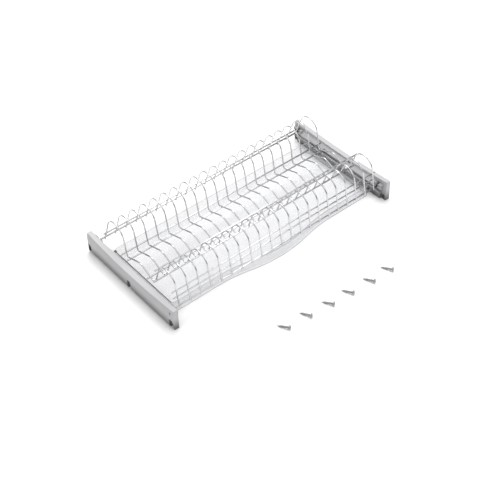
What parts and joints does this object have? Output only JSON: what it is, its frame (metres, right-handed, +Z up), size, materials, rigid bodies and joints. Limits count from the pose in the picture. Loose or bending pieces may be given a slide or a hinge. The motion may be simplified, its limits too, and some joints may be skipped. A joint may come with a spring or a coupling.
{
  "type": "dish drying rack",
  "caption": "Wire dish drying rack for a wall cabinet: bent steel dividers on cross wires, held in clips on two side rails, with a clear drip tray sliding beneath.",
  "frame": {"origin": "half way between the two side rails and half way along them, at the level of the tray's underside and of the rails' undersides", "axes": "+X along the rack's width (the viewer's right from the front), +Y to the back of the cabinet, +Z up"},
  "size_m": [0.57, 0.4449, 0.1026],
  "materials": {
    "wire": "bright polished steel wire",
    "rail": "satin light grey moulding",
    "clip": "satin grey moulding",
    "tray": "clear glossy plastic",
    "screw": "zinc plated steel"
  },
  "bodies": {
    "rails": {"right_rail": "rail", "left_rail": "rail", "right_front_clip": "clip", "left_front_clip": "clip", "right_back_clip": "clip", "left_back_clip": "clip"},
    "rack": {"divider_wire_01": "wire", "divider_wire_02": "wire", "divider_wire_03": "wire", "divider_wire_04": "wire", "divider_wire_05": "wire", "divider_wire_06": "wire", "divider_wire_07": "wire", "divider_wire_08": "wire", "divider_wire_09": "wire", "divider_wire_10": "wire", "divider_wire_11": "wire", "divider_wire_12": "wire", "divider_wire_13": "wire", "divider_wire_14": "wire", "divider_wire_15": "wire", "divider_wire_16": "wire", "divider_wire_17": "wire", "divider_wire_18": "wire", "divider_wire_19": "wire", "divider_wire_20": "wire", "divider_wire_21": "wire", "back_lower_wire": "wire", "back_upper_wire": "wire", "valley_leg_wire": "wire", "valley_rise_wire": "wire", "base_slope_wire": "wire", "middle_leg_wire": "wire", "shoulder_wire": "wire", "front_upper_wire": "wire", "front_middle_wire": "wire", "front_lower_wire": "wire"},
    "tray": {"drip_tray": "tray"},
    "screws": {"fixing_screws": "screw"}
  },
  "joints": [
    {"name": "rack_lift", "type": "slide", "parent": "rails", "child": "rack", "axis": [0, 0, 1], "range_m": [0, 0.08]},
    {"name": "tray_slide", "type": "slide", "parent": "rails", "child": "tray", "axis": [0, -1, 0], "range_m": [-0.035, 0.13]},
    {"name": "screws_lift", "type": "slide", "parent": "rails", "child": "screws", "axis": [0, 0, 1], "range_m": [0, 0.12]}
  ]
}
